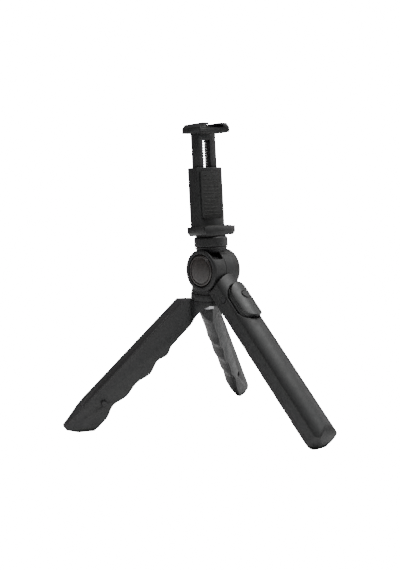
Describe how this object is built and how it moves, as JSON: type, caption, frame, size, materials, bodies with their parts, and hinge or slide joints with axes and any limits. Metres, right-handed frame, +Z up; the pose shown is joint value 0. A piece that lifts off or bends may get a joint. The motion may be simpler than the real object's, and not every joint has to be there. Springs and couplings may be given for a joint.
{
  "type": "phone grip and table tripod",
  "caption": "Folding phone grip: handle leg with two swinging rear legs, tilting head with lock wheel, spring phone clamp with accessory shoe and a lift-out shutter remote.",
  "frame": {"origin": "middle of the footprint, on the floor", "axes": "+Z up; the front leg, the remote and the screen side of the clamp face -Y; +X to the right seen from behind the phone"},
  "size_m": [0.2183, 0.1916, 0.2475],
  "materials": {
    "body_plastic": "matte moulded, fine spark texture",
    "cover_plastic": "smooth matte moulded",
    "cap_gloss": "polished dark disc",
    "remote_plastic": "satin moulded",
    "rubber": "matte rubber",
    "steel": "zinc plated",
    "cell_steel": "stamped stainless",
    "brass": "turned",
    "board": "solder mask",
    "switch": "moulded",
    "nylon": "natural nylon"
  },
  "bodies": {
    "base": {"yoke": "body_plastic", "tilt_cap": "cap_gloss", "tilt_bolt": "steel", "king_pin": "steel", "king_nut": "steel", "king_washer": "steel", "front_leg": "body_plastic", "front_leg_cover": "cover_plastic", "front_leg_screws": "steel", "front_leg_rivet": "steel", "front_foot_pad": "rubber"},
    "left_leg": {"left_leg": "body_plastic", "left_leg_cover": "cover_plastic", "left_foot_pad": "rubber", "mating_peg": "body_plastic"},
    "right_leg": {"right_leg": "body_plastic", "right_leg_cover": "cover_plastic", "right_foot_pad": "rubber"},
    "head": {"tilt_knuckle": "body_plastic", "knuckle_cap": "cap_gloss", "tilt_nut": "steel", "friction_disc": "nylon", "neck_stud": "steel"},
    "lock_wheel": {"lock_wheel": "body_plastic", "wheel_washer": "rubber"},
    "clamp": {"clamp_body": "body_plastic", "thread_insert": "brass", "lower_pad": "rubber", "back_pad": "rubber", "clamp_cover": "cover_plastic", "clamp_spring": "steel"},
    "jaw": {"upper_jaw": "body_plastic", "upper_pad": "rubber"},
    "remote": {"remote_base": "remote_plastic", "remote_cell": "cell_steel", "remote_cover": "remote_plastic", "remote_board": "board", "remote_switch": "switch"},
    "remote_button": {"remote_button": "remote_plastic"}
  },
  "joints": [
    {"name": "left_leg_swing", "type": "hinge", "parent": "base", "child": "left_leg", "pos_m": [0, 0.034, 0.1], "axis": [0, -0.0251, 0.9997], "range_deg": [0, 113.6]},
    {"name": "right_leg_swing", "type": "hinge", "parent": "base", "child": "right_leg", "pos_m": [0, 0.034, 0.1], "axis": [0, -0.0251, 0.9997], "range_deg": [-115.5, 0]},
    {"name": "head_tilt", "type": "hinge", "parent": "base", "child": "head", "pos_m": [0, 0.028, 0.1276], "axis": [1, 0, 0], "range_deg": [-86, 20]},
    {"name": "lock_wheel_turn", "type": "hinge", "parent": "head", "child": "lock_wheel", "pos_m": [0, 0.028, 0.1276], "axis": [0, 0.0698, 0.9976], "range_deg": [-180, 180]},
    {"name": "clamp_swivel", "type": "hinge", "parent": "head", "child": "clamp", "pos_m": [0, 0.028, 0.1276], "axis": [0, 0.0698, 0.9976], "range_deg": [-180, 180]},
    {"name": "jaw_slide", "type": "slide", "parent": "clamp", "child": "jaw", "axis": [0, 0.0698, 0.9976], "range_m": [-0.019, 0.013], "deforming": ["clamp_spring"]},
    {"name": "remote_lift", "type": "slide", "parent": "base", "child": "remote", "axis": [0, -0.7181, 0.6959], "range_m": [0, 0.012]},
    {"name": "remote_press", "type": "slide", "parent": "remote", "child": "remote_button", "axis": [0, 0.7181, -0.6959], "range_m": [0, 0.0006], "stiffness_N_per_m": 600, "springref_m": -0.0006}
  ]
}
